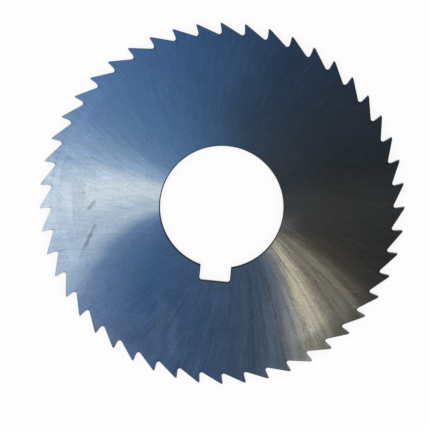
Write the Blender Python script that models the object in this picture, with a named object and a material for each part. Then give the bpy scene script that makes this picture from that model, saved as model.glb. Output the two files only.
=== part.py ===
"""A plain metal slitting saw, made in one piece from high-speed steel.

It is a thin disc with straight pointed teeth all round its rim, and a bore with one keyway that
fits a milling arbor. Both sides are ground hollow, so that only the rim touches the cut.

The disc lies flat: its axis is +Z, z = 0 is the plane it rests on, and the keyway points to -Y.
Sizes are in metres. Points in plan are complex numbers, x + iy, so that turning one about the
axis is a product.
"""

import cmath
import math

import bmesh
import bpy

# The disc
BLADE_DIAMETER = 0.075
RIM_THICKNESS = 0.0012

# The teeth: a straight rake face, a narrow land at the tip, a straight back and a round gullet
TOOTH_COUNT = 48
TOOTH_DEPTH = 0.00225
RAKE_ANGLE = math.radians(8)
LAND_WIDTH = 0.00045
LAND_RELIEF = math.radians(12)
GULLET_RADIUS = 0.0005
FIRST_TIP_ANGLE = math.radians(5.9)

# The hollow-ground sides: a full-thickness band inside the tooth roots, then a shallow cone to the hub
RIM_BAND = 0.001
HOLLOW_DEPTH = 0.00005

# The bore, the flat hub that the arbor collars clamp, and the keyway
BORE_DIAMETER = 0.0254
BORE_CHAMFER = 0.0002
HUB_BAND = 0.0073
KEYWAY_WIDTH = 0.00635
KEYWAY_DEPTH = 0.0028
KEYWAY_CORNER_RADIUS = 0.0005

# How finely round shapes are cut into flats
TURNING_STEPS_PER_TOOTH = 3
FILLET_STEPS = 7
KEYWAY_CORNER_STEPS = 4

# The colour and finish of ground steel under an open sky
STEEL_COLOUR = (0.062, 0.125, 0.245, 1.0)
STEEL_ROUGHNESS = 0.32

# What the dimensions above lead to
TIP_RADIUS = BLADE_DIAMETER / 2
ROOT_RADIUS = TIP_RADIUS - TOOTH_DEPTH
RIM_BAND_RADIUS = ROOT_RADIUS - RIM_BAND
BORE_RADIUS = BORE_DIAMETER / 2
HUB_RADIUS = BORE_RADIUS + HUB_BAND
TOOTH_PITCH_ANGLE = 2 * math.pi / TOOTH_COUNT

# A cutter stands this far past what it cuts
CUTTER_OVERRUN = 0.001


def clear_scene():
    """Removes every object of the startup scene."""
    for obj in list(bpy.data.objects):
        bpy.data.objects.remove(obj)


def arc(centre, start, end, steps):
    """Points on the shorter arc about centre from start to end, both ends included."""
    sweep = cmath.phase((end - centre) / (start - centre))
    return [centre + (start - centre) * cmath.exp(1j * sweep * k / steps) for k in range(steps + 1)]


def gullet_centre(tip, rake):
    """The centre of the gullet's arc, which touches the rake face and the root circle.

    It lies one gullet radius in front of the rake face, on the circle one gullet radius outside
    the roots, so it is where a line beside the rake face meets that circle.
    """
    in_front = rake / 1j
    start = tip + GULLET_RADIUS * in_front
    along = (start * rake.conjugate()).real
    inside = along**2 - abs(start) ** 2 + (ROOT_RADIUS + GULLET_RADIUS) ** 2
    return start + rake * (-along - math.sqrt(inside))


def tangent_point(outside, centre, radius):
    """Where the line from an outside point touches a circle, on the circle's side nearer the axis."""
    to_centre = centre - outside
    distance = abs(to_centre)
    length = math.sqrt(distance**2 - radius**2)
    turn = -math.asin(radius / distance)
    return outside + to_centre / distance * cmath.exp(1j * turn) * length


def tooth_pitch():
    """One tooth pitch of the rim, counterclockwise from a tip on +X to the land behind the next tip."""
    tip = complex(TIP_RADIUS, 0)
    rake = -cmath.exp(1j * RAKE_ANGLE)
    centre = gullet_centre(tip, rake)
    rake_foot = centre - GULLET_RADIUS * rake / 1j
    land = -1j * cmath.exp(-1j * LAND_RELIEF) * LAND_WIDTH
    next_land_heel = (tip + land) * cmath.exp(1j * TOOTH_PITCH_ANGLE)
    back_foot = tangent_point(next_land_heel, centre, GULLET_RADIUS)
    return [tip, *arc(centre, rake_foot, back_foot, FILLET_STEPS), next_land_heel]


def rim_outline():
    """The outline of the whole toothed rim, one pitch turned about the axis for each tooth."""
    pitch = tooth_pitch()
    outline = []
    for tooth in range(TOOTH_COUNT):
        turn = cmath.exp(1j * (FIRST_TIP_ANGLE + tooth * TOOTH_PITCH_ANGLE))
        outline += [point * turn for point in pitch]
    return outline


def keyway_outline():
    """The keyway in plan, counterclockwise from the axis, with a rounded corner at each end of its floor."""
    half_width = KEYWAY_WIDTH / 2
    floor = -(BORE_RADIUS + KEYWAY_DEPTH)
    radius = KEYWAY_CORNER_RADIUS
    centre = complex(half_width - radius, floor + radius)
    corner = arc(centre, centre - 1j * radius, centre + radius, KEYWAY_CORNER_STEPS)
    right_half = [*corner, complex(half_width, 0)]
    left_half = [-point.conjugate() for point in reversed(right_half)]
    return left_half + right_half


def section():
    """The disc's section as (radius, height) corners: hub, hollow cone and rim, the same on both sides."""
    lower = [
        (BORE_RADIUS, HOLLOW_DEPTH + BORE_CHAMFER),
        (BORE_RADIUS + BORE_CHAMFER, HOLLOW_DEPTH),
        (HUB_RADIUS, HOLLOW_DEPTH),
        (RIM_BAND_RADIUS, 0),
        (TIP_RADIUS + CUTTER_OVERRUN, 0),
    ]
    upper = [(radius, RIM_THICKNESS - height) for radius, height in reversed(lower)]
    return lower + upper


def new_object(name, bm):
    """Puts a finished bmesh into the scene as a smooth-shaded object with crisp corners."""
    bmesh.ops.recalc_face_normals(bm, faces=bm.faces)
    mesh = bpy.data.meshes.new(name)
    bm.to_mesh(mesh)
    bm.free()
    mesh.shade_smooth()
    mesh.set_sharp_from_angle(angle=math.radians(30))
    obj = bpy.data.objects.new(name, mesh)
    bpy.context.scene.collection.objects.link(obj)
    return obj


def turned_blank():
    """The disc before its teeth are cut: the section spun about the axis."""
    bm = bmesh.new()
    corners = [bm.verts.new((radius, 0, height)) for radius, height in section()]
    edges = [bm.edges.new(pair) for pair in zip(corners, corners[1:] + corners[:1])]
    bmesh.ops.spin(
        bm,
        geom=corners + edges,
        axis=(0, 0, 1),
        angle=2 * math.pi,
        steps=TURNING_STEPS_PER_TOOTH * TOOTH_COUNT,
        use_merge=True,
    )
    return new_object("saw_blade", bm)


def through_cutter(name, outline):
    """A helper solid with this outline in plan, standing past both sides of the disc."""
    bm = bmesh.new()
    low = -CUTTER_OVERRUN
    face = bm.faces.new([bm.verts.new((point.real, point.imag, low)) for point in outline])
    copied = bmesh.ops.extrude_face_region(bm, geom=[face])["geom"]
    upper_verts = [item for item in copied if isinstance(item, bmesh.types.BMVert)]
    bmesh.ops.translate(bm, vec=(0, 0, RIM_THICKNESS + 2 * CUTTER_OVERRUN), verts=upper_verts)
    cutter = new_object(name, bm)
    cutter.hide_render = True
    cutter.display_type = "WIRE"
    return cutter


def cut(obj, cutter, operation):
    """Adds a Boolean to obj, named for its cutter."""
    boolean = obj.modifiers.new(cutter.name, "BOOLEAN")
    boolean.operation = operation
    boolean.object = cutter


def ground_steel():
    """Hardened high-speed steel with fine grinding marks."""
    material = bpy.data.materials.new("ground_steel")
    material.use_nodes = True
    shader = material.node_tree.nodes["Principled BSDF"]
    shader.inputs["Base Color"].default_value = STEEL_COLOUR
    shader.inputs["Metallic"].default_value = 1.0
    shader.inputs["Roughness"].default_value = STEEL_ROUGHNESS
    material.diffuse_color = STEEL_COLOUR
    return material


def build():
    """Turns the blank, mills the teeth and broaches the keyway."""
    clear_scene()
    blade = turned_blank()
    blade.data.materials.append(ground_steel())
    cut(blade, through_cutter("tooth_form", rim_outline()), "INTERSECT")
    cut(blade, through_cutter("keyway_broach", keyway_outline()), "DIFFERENCE")


build()
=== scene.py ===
"""A slitting saw, 75 mm across: a thin ground disc of high-speed steel with 48 teeth and a keyed bore.

Everything is in metres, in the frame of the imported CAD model: the disc lies flat on z = 0 with its
axis at the origin and its keyway towards -Y. A point in plan is a complex number, x + iy.
"""

import math

import bpy
import numpy as np
from mathutils import Matrix, Vector


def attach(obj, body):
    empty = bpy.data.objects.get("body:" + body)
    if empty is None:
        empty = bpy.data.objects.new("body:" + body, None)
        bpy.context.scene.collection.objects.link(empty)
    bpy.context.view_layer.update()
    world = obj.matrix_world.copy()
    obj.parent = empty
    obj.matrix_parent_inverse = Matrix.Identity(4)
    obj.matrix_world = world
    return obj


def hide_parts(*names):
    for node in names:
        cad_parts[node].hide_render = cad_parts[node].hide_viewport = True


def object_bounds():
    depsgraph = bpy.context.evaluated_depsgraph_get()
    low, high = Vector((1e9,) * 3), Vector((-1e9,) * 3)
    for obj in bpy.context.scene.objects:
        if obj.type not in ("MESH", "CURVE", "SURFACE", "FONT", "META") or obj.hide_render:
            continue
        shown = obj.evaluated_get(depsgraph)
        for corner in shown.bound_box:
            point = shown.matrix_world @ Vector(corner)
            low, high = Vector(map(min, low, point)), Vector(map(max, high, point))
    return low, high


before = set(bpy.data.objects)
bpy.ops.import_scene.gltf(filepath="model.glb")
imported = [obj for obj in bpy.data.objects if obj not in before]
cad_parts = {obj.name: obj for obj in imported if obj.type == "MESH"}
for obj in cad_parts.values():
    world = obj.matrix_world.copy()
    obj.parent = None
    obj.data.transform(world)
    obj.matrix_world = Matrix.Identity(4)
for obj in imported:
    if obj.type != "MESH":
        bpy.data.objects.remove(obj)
cad_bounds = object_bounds()


# The teeth are milled out of the disc's own rim and sharpened by grinding. Each one has a straight
# rake face, a narrow land behind its tip and a straight back, and a round gullet clears its chips.
MM = 0.001
TOOTH_COUNT = 48
FIRST_TIP_ANGLE = math.radians(5.9)
TIP_RADIUS = 37.5 * MM
ROOT_RADIUS = 35.25 * MM
RAKE_ANGLE = math.radians(8)
LAND_WIDTH = 0.45 * MM
LAND_RELIEF = math.radians(12)
GULLET_RADIUS = 0.5 * MM
RAKE_STEPS = 5
GULLET_STEPS = 9
BACK_STEPS = 7
LAND_STEPS = 3
PITCH_STEPS = RAKE_STEPS + GULLET_STEPS + BACK_STEPS + LAND_STEPS
STEPS_ROUND = TOOTH_COUNT * PITCH_STEPS


def arc(centre, start, end, steps):
    """The shorter arc about centre: its radius turned by equal parts of the angle from start to end."""
    spoke = start - centre
    sweep = np.angle((end - centre) / spoke)
    return centre + spoke * np.exp(1j * sweep * np.arange(steps) / steps)


def tooth_pitch():
    """One pitch of the rim, counterclockwise from a tip on +X: rake face, gullet, back and land.

    The gullet's centre is one gullet radius in front of the rake face and one outside the root
    circle. The back runs from the next land's heel to where that line touches the gullet.
    """
    tip = complex(TIP_RADIUS, 0)
    rake = -np.exp(1j * RAKE_ANGLE)
    beside = tip + GULLET_RADIUS * rake / 1j
    along = (beside * np.conj(rake)).real
    reach = along**2 - abs(beside) ** 2 + (ROOT_RADIUS + GULLET_RADIUS) ** 2
    centre = beside - rake * (along + math.sqrt(reach))
    rake_foot = centre - GULLET_RADIUS * rake / 1j
    next_tip = tip * np.exp(1j * math.tau / TOOTH_COUNT)
    heel = (tip - 1j * np.exp(-1j * LAND_RELIEF) * LAND_WIDTH) * next_tip / tip
    to_centre = centre - heel
    slack = math.asin(GULLET_RADIUS / abs(to_centre))
    back_foot = heel + to_centre * np.exp(-1j * slack) * math.cos(slack)
    return np.concatenate([
        np.linspace(tip, rake_foot, RAKE_STEPS, endpoint=False),
        arc(centre, rake_foot, back_foot, GULLET_STEPS),
        np.linspace(back_foot, heel, BACK_STEPS, endpoint=False),
        np.linspace(heel, next_tip, LAND_STEPS, endpoint=False),
    ])


tooth_turns = np.exp(1j * (FIRST_TIP_ANGLE + math.tau * np.arange(TOOTH_COUNT) / TOOTH_COUNT))
rim = (tooth_turns[:, None] * tooth_pitch()).ravel()


def set_in(outline, distance):
    """A closed counterclockwise outline moved inwards by distance, square to each of its sides.

    A corner moves by distance times the sum of its two sides' inward normals, over one plus
    their dot product.
    """
    side = np.roll(outline, -1) - outline
    after = 1j * side / abs(side)
    before = np.roll(after, 1)
    return outline + distance * (before + after) / (1 + (before * np.conj(after)).real)


# The bore is ground to fit a milling arbor and chamfered on both sides. One keyway is broached
# through it, square with small rounded corners; its edges are stoned, and bevelled wider to carry a painted
# shade line.
BORE_RADIUS = 12.7 * MM
BORE_CHAMFER = 0.2 * MM
KEYWAY_HALF_WIDTH = 3.175 * MM
KEYWAY_FLOOR = 15.5 * MM
KEYWAY_CORNER = 0.5 * MM
KEYWAY_WALL_STEPS = 12
KEYWAY_CORNER_STEPS = 6
# The keyway's edges get a bevel this wide, which carries a painted dark shade line along the keyway
KEYWAY_EDGE = 0.15 * MM
STONED_EDGE = 0.04 * MM

# A plain ring has one point for each point of the rim, turned so that they face each other
even_angles = math.tau * np.arange(STEPS_ROUND) / STEPS_ROUND
rim_lead = np.angle(rim[:PITCH_STEPS] / np.exp(1j * even_angles[:PITCH_STEPS])).mean()
ring_angles = rim_lead + even_angles


def bore(chamfer, edge):
    """The bore and keyway as one outline, the bore widened by chamfer and the keyway by edge.

    The keyway is a straight wall, a quarter arc and half the floor, and their mirror image. The
    bore is the rest of the circle, and the points are counted so that they face the plain ring's.
    """
    radius = BORE_RADIUS + chamfer
    half_width = KEYWAY_HALF_WIDTH + edge
    corner = KEYWAY_CORNER + edge
    mouth = complex(half_width, -math.sqrt(radius**2 - half_width**2))
    centre = complex(half_width - corner, corner - KEYWAY_FLOOR - edge)
    wall = np.linspace(mouth, centre + corner, KEYWAY_WALL_STEPS, endpoint=False)
    turn = arc(centre, centre + corner, centre - 1j * corner, KEYWAY_CORNER_STEPS)
    right = np.concatenate([wall, turn])
    floor_end = centre - 1j * corner
    mouth_angle = math.asin(KEYWAY_HALF_WIDTH / BORE_RADIUS)
    key_steps = round(2 * mouth_angle / math.tau * STEPS_ROUND)
    floor = np.linspace(-np.conj(floor_end), floor_end, key_steps - 2 * right.size)
    keyway = np.concatenate([-np.conj(right), floor, right[::-1]])
    sweep = math.tau - 2 * math.asin(half_width / radius)
    circle_steps = STEPS_ROUND - keyway.size + 1
    circle = mouth * np.exp(1j * sweep * np.arange(1, circle_steps) / circle_steps)
    keyway_start = (-math.pi / 2 - mouth_angle - ring_angles[0]) % math.tau
    return np.roll(np.concatenate([keyway, circle]), round(keyway_start / math.tau * STEPS_ROUND))


bore_wall = bore(0, 0)
on_circle = np.isclose(abs(bore_wall), BORE_RADIUS)
bore_edge = np.where(on_circle, BORE_CHAMFER, KEYWAY_EDGE)


# The sides are ground hollow. Only a narrow band inside the teeth has the full thickness, and from
# there a shallow cone runs down to the flat hub that the arbor's collars clamp.
THICKNESS = (cad_bounds[1] - cad_bounds[0]).z
HOLLOW_DEPTH = 0.05 * MM
HUB_RADIUS = 20 * MM
RIM_BAND_RADIUS = 34.25 * MM
CONE_STEPS = 3
HUB_STEPS = 2
CREASE_ANGLE = math.radians(30)


def ring(radius):
    """A plain circle: the radius, turned to each of the ring's angles."""
    return radius * np.exp(1j * ring_angles)


def between(first, last, steps):
    """Equal steps from one (outline, height) row to another, without the last."""
    return [tuple(a + (b - a) * k / steps for a, b in zip(first, last)) for k in range(steps)]


half = THICKNESS / 2
collar_seat = (bore(BORE_CHAMFER, KEYWAY_EDGE), half - HOLLOW_DEPTH)
hub_edge = (ring(HUB_RADIUS), half - HOLLOW_DEPTH)
rim_band = (ring(RIM_BAND_RADIUS), half)
rim_face = (set_in(rim, STONED_EDGE), half)
upper_rows = [
    (bore_wall, half - HOLLOW_DEPTH - bore_edge),
    *between(collar_seat, hub_edge, HUB_STEPS),
    *between(hub_edge, rim_band, CONE_STEPS),
    rim_band,
    rim_face,
    (rim, half - STONED_EDGE),
]
rows = upper_rows + [(outline, -height) for outline, height in reversed(upper_rows)]


def blade_mesh(name):
    """The blade's skin: rows of points round the disc, from the bore out, over the rim and back.

    Point (row, step) lies at that row's outline and height. Each face joins two neighbouring
    steps of two neighbouring rows, and the rows and the steps both close on themselves.
    """
    outlines = np.array([outline for outline, _ in rows])
    heights = np.array([np.broadcast_to(height, STEPS_ROUND) for _, height in rows]) + half
    points = np.stack([outlines.real, outlines.imag, heights], axis=-1).reshape(-1, 3)
    index = np.arange(len(rows) * STEPS_ROUND).reshape(len(rows), STEPS_ROUND)
    next_row = np.roll(index, -1, axis=0)
    corners = [index, next_row, np.roll(next_row, -1, axis=1), np.roll(index, -1, axis=1)]
    mesh = bpy.data.meshes.new(name)
    mesh.from_pydata(points.tolist(), [], np.stack(corners, axis=-1).reshape(-1, 4).tolist())
    mesh.shade_smooth()
    mesh.set_sharp_from_angle(angle=CREASE_ANGLE)
    return mesh


blade = bpy.data.objects.new("ground_blade", blade_mesh("ground_blade"))
bpy.context.scene.collection.objects.link(blade)
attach(blade, "root")
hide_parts("saw_blade")


# The sides' finish. A cup wheel leaves fine marks that run outwards from the bore in two crossing
# families, and hard bare steel takes its colour from the sky it reflects. That reflection is painted
# into the sides' colour as dark, blue, glaring and sunlit sectors.
class Value:
    """A socket of a material's node. Arithmetic on it adds Math nodes to the same material."""

    def __init__(self, finish, socket):
        self.finish = finish
        self.socket = socket

    def math(self, operation, *others):
        """What a Math node makes of this and the others."""
        inputs = dict(enumerate([self, *others]))
        return self.finish.node("ShaderNodeMath", {"operation": operation}, inputs)

    def __add__(self, other):
        return self.math("ADD", other)

    def __sub__(self, other):
        return self.math("SUBTRACT", other)

    def __rsub__(self, other):
        return self * -1 + other

    def __mul__(self, other):
        return self.math("MULTIPLY", other)

    def __truediv__(self, other):
        return self.math("DIVIDE", other)

    def __pow__(self, other):
        return self.math("POWER", other)

    __radd__ = __add__
    __rmul__ = __mul__

    def rise(self, low, high):
        """0 where this is below low, 1 where it is above high, and smooth between."""
        inputs = {"Value": self, "From Min": low, "From Max": high}
        return self.finish.node("ShaderNodeMapRange", {"interpolation_type": "SMOOTHSTEP"}, inputs)


class Finish:
    """A material in the making, metal unless said otherwise."""

    def __init__(self, name):
        self.material = bpy.data.materials.new(name)
        self.material.use_nodes = True
        self.tree = self.material.node_tree
        self.shader = self.tree.nodes["Principled BSDF"]
        self.shader.inputs["Metallic"].default_value = 1.0

    def node(self, kind, settings=None, inputs=None, output=0):
        """Adds a node: its settings first, or its ramp's stops, then its sockets' values or links."""
        made = self.tree.nodes.new(kind)
        for name, setting in (settings or {}).items():
            if name == "stops":
                made.color_ramp.elements.remove(made.color_ramp.elements[1])
                made.color_ramp.elements[0].color = setting[0][1]
                for position, colour in setting[1:]:
                    made.color_ramp.elements.new(position).color = colour
            else:
                setattr(made, name, setting)
        for name, value in (inputs or {}).items():
            self.feed(made.inputs[name], value)
        return Value(self, made.outputs[output])

    def feed(self, socket, value):
        """Links a Value to a socket, or writes a plain value on it."""
        if isinstance(value, Value):
            self.tree.links.new(value.socket, socket)
        else:
            socket.default_value = value

    def mix(self, amount, first, second):
        """Colour first turned into second by amount."""
        return self.node("ShaderNodeMix", {"data_type": "RGBA"}, {0: amount, 6: first, 7: second}, 2)

    def scale(self, colour, amount):
        """A colour or a place made that many times as strong or as long."""
        return self.node("ShaderNodeVectorMath", {"operation": "SCALE"}, {0: colour, "Scale": amount})

    def place_mm(self):
        """Where a point lies on the blade, as X, Y and Z in millimetres."""
        place = self.scale(self.node("ShaderNodeTexCoord", {}, {}, "Object"), 1 / MM)
        return [self.node("ShaderNodeSeparateXYZ", {}, {0: place}, axis) for axis in "XYZ"]

    def noise(self, place, detail):
        """Noise of about one spot a unit at this place, given as three Values, with finer layers on top."""
        vector = self.node("ShaderNodeCombineXYZ", {}, dict(enumerate(place)))
        return self.node("ShaderNodeTexNoise", {}, {"Vector": vector, "Scale": 1.0, "Detail": detail}) - 0.5


def tint(red, green, blue):
    """A colour as seen on a screen, from 0 to 255, as the linear colour of the sRGB curve."""
    seen = np.array([red, green, blue]) / 255
    linear = np.where(seen < 0.04045, seen / 12.92, ((seen + 0.055) / 1.055) ** 2.4)
    return (*linear.tolist(), 1.0)


# The colours of the sky's painted reflection on the sides, from the dark side of the disc round to the
# sunlit one
ASH = tint(51, 52, 51)
CHARCOAL = tint(38, 43, 44)
MIDNIGHT = tint(41, 49, 59)
DUSK_BLUE = tint(42, 58, 76)
DEEP_BLUE = tint(57, 87, 123)
SKY_BLUE = tint(75, 108, 148)
HORIZON = tint(95, 127, 163)
HAZE = tint(141, 167, 194)
GLARE = tint(197, 210, 219)
MILK_BLUE = tint(167, 185, 203)
DULL_HORIZON = tint(96, 123, 156)
DULL_BLUE = tint(76, 104, 141)
STEEL_BLUE = tint(55, 79, 110)
SLATE = tint(57, 74, 97)
PEWTER = tint(65, 80, 96)
LEAD = tint(87, 95, 106)
STRAW = tint(127, 128, 125)
SUNLIT = tint(180, 173, 153)
DUN = tint(136, 131, 118)
BRONZE = tint(110, 106, 95)
OLIVE = tint(90, 86, 75)
SOOT = tint(64, 62, 56)
UMBER = tint(54, 52, 49)

# The painted sheen's colours by degrees round the disc, counted counterclockwise from +X, at this radius in
# mm
SHEEN_RADIUS = 22
PAINTED_SHEEN = [
    (0, ASH),
    (10, ASH),
    (24, CHARCOAL),
    (48, MIDNIGHT),
    (72, DUSK_BLUE),
    (107, DEEP_BLUE),
    (133, SKY_BLUE),
    (150, HORIZON),
    (163, HAZE),
    (173, GLARE),
    (179, GLARE),
    (188, MILK_BLUE),
    (194, MILK_BLUE),
    (204, DULL_HORIZON),
    (213, DULL_BLUE),
    (230, DEEP_BLUE),
    (257, STEEL_BLUE),
    (284, SLATE),
    (297, PEWTER),
    (306, LEAD),
    (313, STRAW),
    (319, SUNLIT),
    (321.5, SUNLIT),
    (326, DUN),
    (330, BRONZE),
    (335, BRONZE),
    (339, OLIVE),
    (343, SOOT),
    (349, UMBER),
    (360, ASH),
]

side_steel = Finish("ground_side_steel")
x, y, z = side_steel.place_mm()
radius = (x * x + y * y) ** 0.5
angle = y.math("ARCTAN2", x)
degrees = angle * (180 / math.pi)
spread = (radius / SHEEN_RADIUS).math("LOGARITHM", math.e)


def sector(middle, width, lean=0):
    """1 in the middle of a sector of the disc, falling as a bell to nearly 0 over twice its width.

    The sector's middle moves back by lean degrees for each unit of the radius's logarithm.
    """
    off = ((degrees + spread * lean - (middle - 180)).math("FLOORED_MODULO", 360) - 180) / width
    return (off * off * -1).math("EXPONENT")


def grinding_marks(slant, count, length, detail, seed):
    """Noise drawn out along the grinding marks: count marks round the disc, each length mm long.

    A mark's angle changes by the slant times the logarithm of the radius. The noise is read on a
    circle as long as the count of marks, so it closes on itself, and rises with the radius.
    """
    turned = angle + spread * slant
    circle_radius = count / math.tau
    circle = [turned.math("COSINE") * circle_radius, turned.math("SINE") * circle_radius]
    return side_steel.noise([*circle, radius / length + seed], detail)


def wiping_marks(tilt, length, width, seed):
    """Noise drawn out along straight lines that lean by tilt degrees from +X, in mm."""
    lean = math.radians(tilt)
    along = x * math.cos(lean) + y * math.sin(lean)
    across = y * math.cos(lean) - x * math.sin(lean)
    return side_steel.noise([along / length, across / width, seed], 3)


# Parts of the disc by angle, sun and glare among them as sectors of painted reflection: the middle and
# the width of each in degrees
sun = sector(318, 22)
sun_edge = sector(333, 13)
glare = sector(182, 30)
top = sector(135, 40)
bottom = sector(262, 34)
lower_left = sector(213, 22)

# Parts of the disc by radius: each changes from 0 to 1, or back, between two radii in mm
near_bore = 1 - radius.rise(12, 26)
bore_lip = 1 - radius.rise(12.5, 18)
outwards = radius.rise(22, 36)
full_thickness = radius.rise(31.4, 33.8)
tips = radius.rise(33.8, 35.8)

# What grinding and wiping leave, and the steel's own unevenness, as noise from about -0.5 to 0.5
outward_marks = grinding_marks(sun * 0.1 + 0.18, 280, 7, 5, 0)
fine_marks = grinding_marks(sun * 0.1 + 0.16, 560, 3.5, 3, 10)
crossing_marks = grinding_marks(-0.3, 240, 5, 4, 20)
broad_marks = grinding_marks(0.25, 70, 22, 3, 40)
long_marks = grinding_marks(0.22, 440, 30, 4, 50)
rim_arcs = grinding_marks(0, 9, 0.45, 3, 60)
wiping = wiping_marks(5.7, 7, 0.35, 80)
mottling = side_steel.noise([x / 3, y / 3, 100], 2)
grain = side_steel.noise([x / 0.6, y / 0.6, 120], 2)

# The painted sheen drifts round the disc as it goes outwards, lags in some parts, and wavers with the marks
drift = sector(224, 47) * 39.5 - sector(287, 76) * 26
sun_lag = (near_bore * 4 - bore_lip * 2) * sun
rim_lag = outwards * lower_left * 2.5
hollow_lag = near_bore * (1 - near_bore) * sector(86, 14) * 24
close_waver = (outward_marks + fine_marks * 0.6) * (3.5 - sun * 1.5)
broad_waver = broad_marks * (sun * 5 + 6) + long_marks * sun * 4
waver = (close_waver + broad_waver) * (1 - bore_lip * 0.5)
sheen_degrees = degrees - spread * drift - sun_lag - rim_lag - hollow_lag + waver
sheen_place = sheen_degrees.math("FLOORED_MODULO", 360) / 360
ramp_stops = [(at / 360, colour) for at, colour in PAINTED_SHEEN]
painted_sheen = side_steel.node("ShaderNodeValToRGB", {"stops": ramp_stops}, {0: sheen_place})

# The marks lie closest at the bore, where a pale veil of painted sheen lies over the colour, with a painted
# highlight spot at the bore's lip. Outwards the painted sheen is multiplied by a bluer painted shade, and
# shows a pale painted haze of glare, a mottled brown tint and a few pale tooth tips.
HUB_SHADE = (1.0, 1.0, 1.0, 1.0)
RIM_SHADE = (0.89, 0.925, 1.01, 1.0)
VEIL = tint(106, 122, 145)
PALE_SPOT = tint(150, 152, 150)
RIM_GLARE_HAZE = tint(212, 225, 228)
RUSSET = tint(112, 97, 84)
shade = side_steel.mix(outwards, HUB_SHADE, RIM_SHADE)
shaded = side_steel.node("ShaderNodeVectorMath", {"operation": "MULTIPLY"}, {0: painted_sheen, 1: shade})
veiled = side_steel.mix(near_bore * 0.06, shaded, VEIL)
lip_highlit = side_steel.mix(bore_lip * sector(352, 7) * 0.16, veiled, PALE_SPOT)
glare_hazed = side_steel.mix(outwards * sector(200, 51) * 0.08, lip_highlit, RIM_GLARE_HAZE)
# A mottled brown tint in a narrow leaning sector at the sunlit side's edge, outwards but short of the
# full-thickness band
brown_mottle = mottling.rise(-0.1, 0.2) * sector(335.5, 3, 12) * outwards * (1 - full_thickness)
browned = side_steel.mix(brown_mottle * 0.8, glare_hazed, RUSSET)
pale_tips = side_steel.mix(tips * sector(236, 14) * 0.14, browned, PALE_SPOT)

# Painted shade and light: parts of the bore's lip, of the band inside the teeth and of the rim are painted
# dimmer than the sheen, and two are painted lighter
lip_dimming = (sector(330, 4) * 0.24 + sector(344, 3.5) * 0.36 - sector(317, 6) * 0.14) * bore_lip
band_dimming = (sector(311, 10) * 0.44 - sector(145, 10) * 0.1) * full_thickness
rim_dimming = sector(323, 13) * tips * 0.2 + sector(354, 12) * outwards * 0.2
dimming = 1 - sun * near_bore * 0.05 - lip_dimming - band_dimming - rim_dimming

# Single painted highlight streaks of the sunlit side, along the marks: place and width in degrees, and how
# much it brightens at bore and rim
STREAK_LEAN = 13
STREAKS = [
    (292.0, 1.2, -0.2, -0.2),
    (299.2, 0.8, 0.1, 0.15),
    (304.0, 1.0, -0.1, -0.2),
    (308.0, 1.0, 0.45, 0.3),
    (309.8, 0.7, -0.1, -0.1),
    (311.6, 0.8, 0.35, 0.4),
    (314.7, 0.8, -0.2, -0.1),
    (316.9, 0.7, -0.35, 0),
    (319.4, 0.6, -0.1, 0.2),
    (320.4, 0.5, -0.2, -0.2),
    (322.0, 1.4, 0.35, 0.05),
    (324.2, 1.2, -0.25, -0.2),
    (326.0, 0.8, -0.35, 0),
    (327.0, 0.7, -0.05, -0.1),
    (328.5, 0.7, 0, 0.15),
    (330.4, 0.8, 0.25, 0.1),
    (331.7, 0.8, 0, -0.2),
    (333.4, 0.5, 0, -0.2),
    (334.3, 0.6, 0.05, 0.3),
    (335.8, 0.8, 0.25, 0.25),
    (337.7, 0.8, -0.4, -0.1),
    (339.4, 0.7, -0.35, 0.1),
    (341.0, 0.8, -0.3, 0),
    (342.7, 1.0, 0.45, 0.05),
    (343.8, 0.7, 0, -0.15),
    (345.7, 0.8, 0, -0.1),
]


def streak(middle, width, at_bore, at_rim):
    """A leaning line of painted highlight that brightens by at_bore near the bore and by at_rim outside it.
    """
    return sector(middle, width, STREAK_LEAN) * (near_bore * (at_bore - at_rim) + at_rim)


streaks = sum(streak(*line) for line in STREAKS) * (1 - bore_lip * 0.8)

# Strokes and grey patches: each runs from one point to another, both in mm, and has a width in mm and a
# strength. A stroke darkens, or brightens below 0, and a grey patch turns the steel grey. The narrow dark
# strokes at the left are scratches; the wide faint strokes are painted shade, and below 0 painted
# highlight.
STROKES = [
    ((-25.98, -1.04), (-27.51, -3.28), 0.5, 0.34),
    ((-25.58, -6.03), (-26.40, -8.21), 0.38, 0.34),
    ((-26.35, -8.1), (-27.52, -11.37), 0.55, 0.42),
    ((-27.6, -11.6), (-28.3, -13.8), 0.42, 0.14),
    ((-32.58, -8.82), (-18.17, -7.39), 0.2, 0.12),
    ((-32.34, -11.96), (-25.12, -11.24), 0.2, 0.16),
    ((-32.7, 1.2), (-31.6, -2.9), 1.6, -0.14),
    ((-29.4, 2.0), (-27.3, -2.4), 1.2, 0.08),
    ((-32.4, -8.5), (-29.6, -13.6), 1.5, -0.1),
    ((17.3, -5.2), (21.7, -7.9), 1.4, 0.18),
    ((-29.9, 3.4), (-29.5, -5.6), 1.8, 0.08),
    ((-21.5, 3.6), (-26.0, 4.6), 1.8, -0.09),
    ((-27.4, -12.2), (-26.4, -13.8), 1.8, 0.1),
]
GREY_PATCHES = [
    ((-8.0, -22.5), (-7.1, -32.5), 1.4, 0.28),
    ((-10.1, -20.5), (-11.0, -28.5), 1.8, 0.28),
    ((-11.0, -28.5), (-10.4, -32.5), 1.3, 0.2),
    ((-13.8, -23.8), (-14.8, -26.8), 0.7, 0.3),
    ((-17.9, -25.5), (-16.5, -27.8), 1.1, 0.34),
    ((-19.9, -19.2), (-20.5, -21.2), 0.9, 0.25),
]
PATCH_GREY = tint(84, 106, 128)


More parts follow.
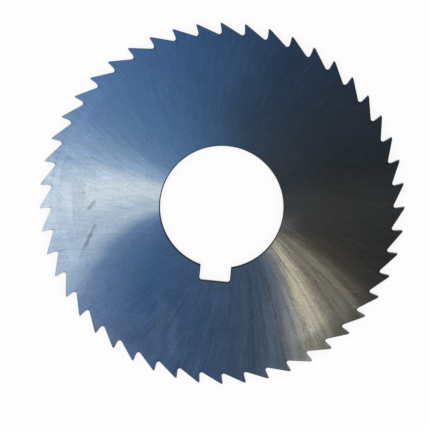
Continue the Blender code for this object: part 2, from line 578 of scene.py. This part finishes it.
def stroke(start, end, width, strength):
    """strength along the line from start to end in mm, falling to 0 at its uneven sides and at its ends."""
    length = math.dist(start, end)
    ahead = ((end[0] - start[0]) / length, (end[1] - start[1]) / length)
    along = (x - start[0]) * ahead[0] + (y - start[1]) * ahead[1]
    across = (y - start[1]) * ahead[0] - (x - start[0]) * ahead[1] + grain * width
    off_end = (along - length / 2).math("ABSOLUTE")
    beside = across.math("ABSOLUTE").rise(width * 0.2, width)
    beyond = off_end.rise(length / 2 - width, length / 2 + width)
    return (1 - beside) * (1 - beyond) * strength


strokes = sum(stroke(*line) for line in STROKES)
greyed = side_steel.mix(sum(stroke(*line) for line in GREY_PATCHES), pale_tips, PATCH_GREY)

# The marks brighten and dim the colour by shares of it, some parts of the disc more than others: most in
# the painted glare and sunlit sectors, where they carry painted sheen
marks = (outward_marks + fine_marks) * 0.5 + crossing_marks * 0.3
contrast = glare * 0.3 + sun * 0.4 + sun_edge * 0.6 + bottom * 0.1 - top * 0.3 - lower_left * 0.3 + 0.65
uneven = (broad_marks + mottling) * 1.5 + 1
long_streaks = long_marks * (sun * 0.8 + sun_edge * 0.6 + bottom * 0.7)
clouding = mottling * (bottom * 0.25 + 0.14) + grain * (sun * 0.3 + bottom * 0.1 + 0.35)
rubbing_and_glare = glare * (rim_arcs * outwards * (mottling * 2 + 0.5) + wiping * 0.22)
hairlines = fine_marks.rise(0.1, 0.22) * (glare * 0.14 + sun * 0.12)
patches = streaks + long_streaks + clouding + rubbing_and_glare - hairlines
brightness = (marks * contrast * uneven + patches + 1) * dimming * (1 - strokes)

MARK_DEPTH = 0.02 * MM
side_steel.feed(side_steel.shader.inputs["Base Color"], side_steel.scale(greyed, brightness))
side_steel.feed(side_steel.shader.inputs["Roughness"], marks * 0.25 + 0.33)
bump = side_steel.node("ShaderNodeBump", {}, {"Strength": 0.3, "Distance": MARK_DEPTH, "Height": marks})
side_steel.feed(side_steel.shader.inputs["Normal"], bump)
side_steel.shader.inputs["Anisotropic"].default_value = 0.5
blade.data.materials.append(side_steel.material)


# The tooth faces are ground across the disc's thickness and stay plain grey. The bore's chamfers, keyway
# edges and walls are painted dark as shade, and painted lighter towards the sunlit side.
TOOTH_GREY = tint(84, 91, 100)
BORE_SHADE = tint(24, 28, 34)
BORE_LIT = tint(62, 66, 70)
LINE_WIDTH = 0.12
LINE_LENGTH = 1.5

# Each wall's colours at the left and at the right, and its roughness; the bore's are painted shade and
# painted light
WALLS = [
    ("tooth_face_steel", TOOTH_GREY, TOOTH_GREY, 0.35),
    ("bore_steel", BORE_SHADE, BORE_LIT, 0.4),
]

for name, left, right, roughness in WALLS:
    wall_steel = Finish(name)
    x, y, z = wall_steel.place_mm()
    lines = wall_steel.noise([x / LINE_WIDTH, y / LINE_WIDTH, z / LINE_LENGTH], 3)
    colour = wall_steel.mix((x + y * 0.5).rise(-4, 9), left, right)
    wall_steel.feed(wall_steel.shader.inputs["Base Color"], wall_steel.scale(colour, lines * 0.8 + 1))
    wall_steel.feed(wall_steel.shader.inputs["Roughness"], lines * 0.3 + roughness)
    blade.data.materials.append(wall_steel.material)

# Each row of faces joins a row of points to the next. Three run over the teeth with their stoned edges,
# and three round the bore with its chamfers. The numbers are places in the blade's list of materials.
SIDE, TOOTH_FACE, BORE = range(3)
over_teeth = slice(len(upper_rows) - 2, len(upper_rows) + 1)
round_bore = [0, -2, -1]
row_finish = np.full(len(rows), SIDE)
row_finish[over_teeth] = TOOTH_FACE
row_finish[round_bore] = BORE
blade.data.polygons.foreach_set("material_index", np.repeat(row_finish, STEPS_ROUND))


# The floor is a plain sheet of pale paper, far wider than the disc, which lies on it. It shows as pure
# white all round, and keeps a faint shadow of the disc.
FLOOR_SIZE = 3.0
FLOOR_GAP = 0.02 * MM
FLOOR_COLOUR = (0.9, 0.9, 0.9, 1.0)
WHITE = (1.0, 1.0, 1.0, 1.0)
SHADOW_SHARE = 0.15

floor_corners = FLOOR_SIZE / 2 * np.array([[-1, -1, 0], [1, -1, 0], [1, 1, 0], [-1, 1, 0]])
floor_mesh = bpy.data.meshes.new("floor")
floor_mesh.from_pydata((floor_corners - [0, 0, FLOOR_GAP]).tolist(), [], [(0, 1, 2, 3)])
floor = bpy.data.objects.new("floor", floor_mesh)
bpy.context.scene.collection.objects.link(floor)

floor_finish = Finish("floor")
paths = [floor_finish.node("ShaderNodeLightPath", {}, {}, name) for name in
         ("Is Camera Ray", "Is Glossy Ray", "Is Transmission Ray")]
seen = paths[0].math("MAXIMUM", paths[1]).math("MAXIMUM", paths[2])
paper = floor_finish.node("ShaderNodeBsdfDiffuse", {}, {"Color": FLOOR_COLOUR})
glow = floor_finish.node("ShaderNodeEmission", {}, {"Color": WHITE, "Strength": 1.0})
mixed = floor_finish.node("ShaderNodeMixShader", {}, {0: seen * (1 - SHADOW_SHARE), 1: paper, 2: glow})
floor_finish.feed(floor_finish.tree.nodes["Material Output"].inputs["Surface"], mixed)
floor_mesh.materials.append(floor_finish.material)


# The light is an even white sky, as in a photographer's tent. One large soft lamp, high up beyond the
# disc's left side, leans the shadows a little.
SKY_STRENGTH = 1.0
LAMP_PLACE = Vector((-0.35, 0.3, 0.55))
LAMP_SIZE = 0.5
LAMP_POWER = 0.35

world = bpy.data.worlds.new("white_sky")
world.use_nodes = True
world.node_tree.nodes["Background"].inputs["Color"].default_value = WHITE
world.node_tree.nodes["Background"].inputs["Strength"].default_value = SKY_STRENGTH
bpy.context.scene.world = world

lamp_data = bpy.data.lights.new("soft_lamp", "AREA")
lamp_data.size = LAMP_SIZE
lamp_data.energy = LAMP_POWER
lamp = bpy.data.objects.new("soft_lamp", lamp_data)
lamp.location = LAMP_PLACE
lamp.rotation_euler = LAMP_PLACE.to_track_quat("Z", "Y").to_euler()
bpy.context.scene.collection.objects.link(lamp)


# The camera looks down on the disc, a little from above the teeth that face away from the keyway.
# The disc lies turned by 5.5 degrees, so that its keyway points to just left of straight down.
VIEW_TURN = math.radians(5.5)
VIEW_PLACE = Vector((0.44, 33.42, 230.32)) * MM
VIEW_AIM = Vector((-1.20, -1.63, 1.2)) * MM
LENS = 94.37
SENSOR = 36.0

camera_data = bpy.data.cameras.new("camera")
camera_data.lens = LENS
camera_data.sensor_width = SENSOR
camera_data.clip_start = 0.01
camera = bpy.data.objects.new("camera", camera_data)
back = (VIEW_PLACE - VIEW_AIM).normalized()
image_up = Vector((-math.sin(VIEW_TURN), math.cos(VIEW_TURN), 0))
right = image_up.cross(back).normalized()
turned = Matrix((right, back.cross(right), back)).transposed().to_4x4()
camera.matrix_world = Matrix.Translation(VIEW_PLACE) @ turned
bpy.context.scene.collection.objects.link(camera)
bpy.context.scene.camera = camera
bpy.context.scene.view_settings.view_transform = "Standard"
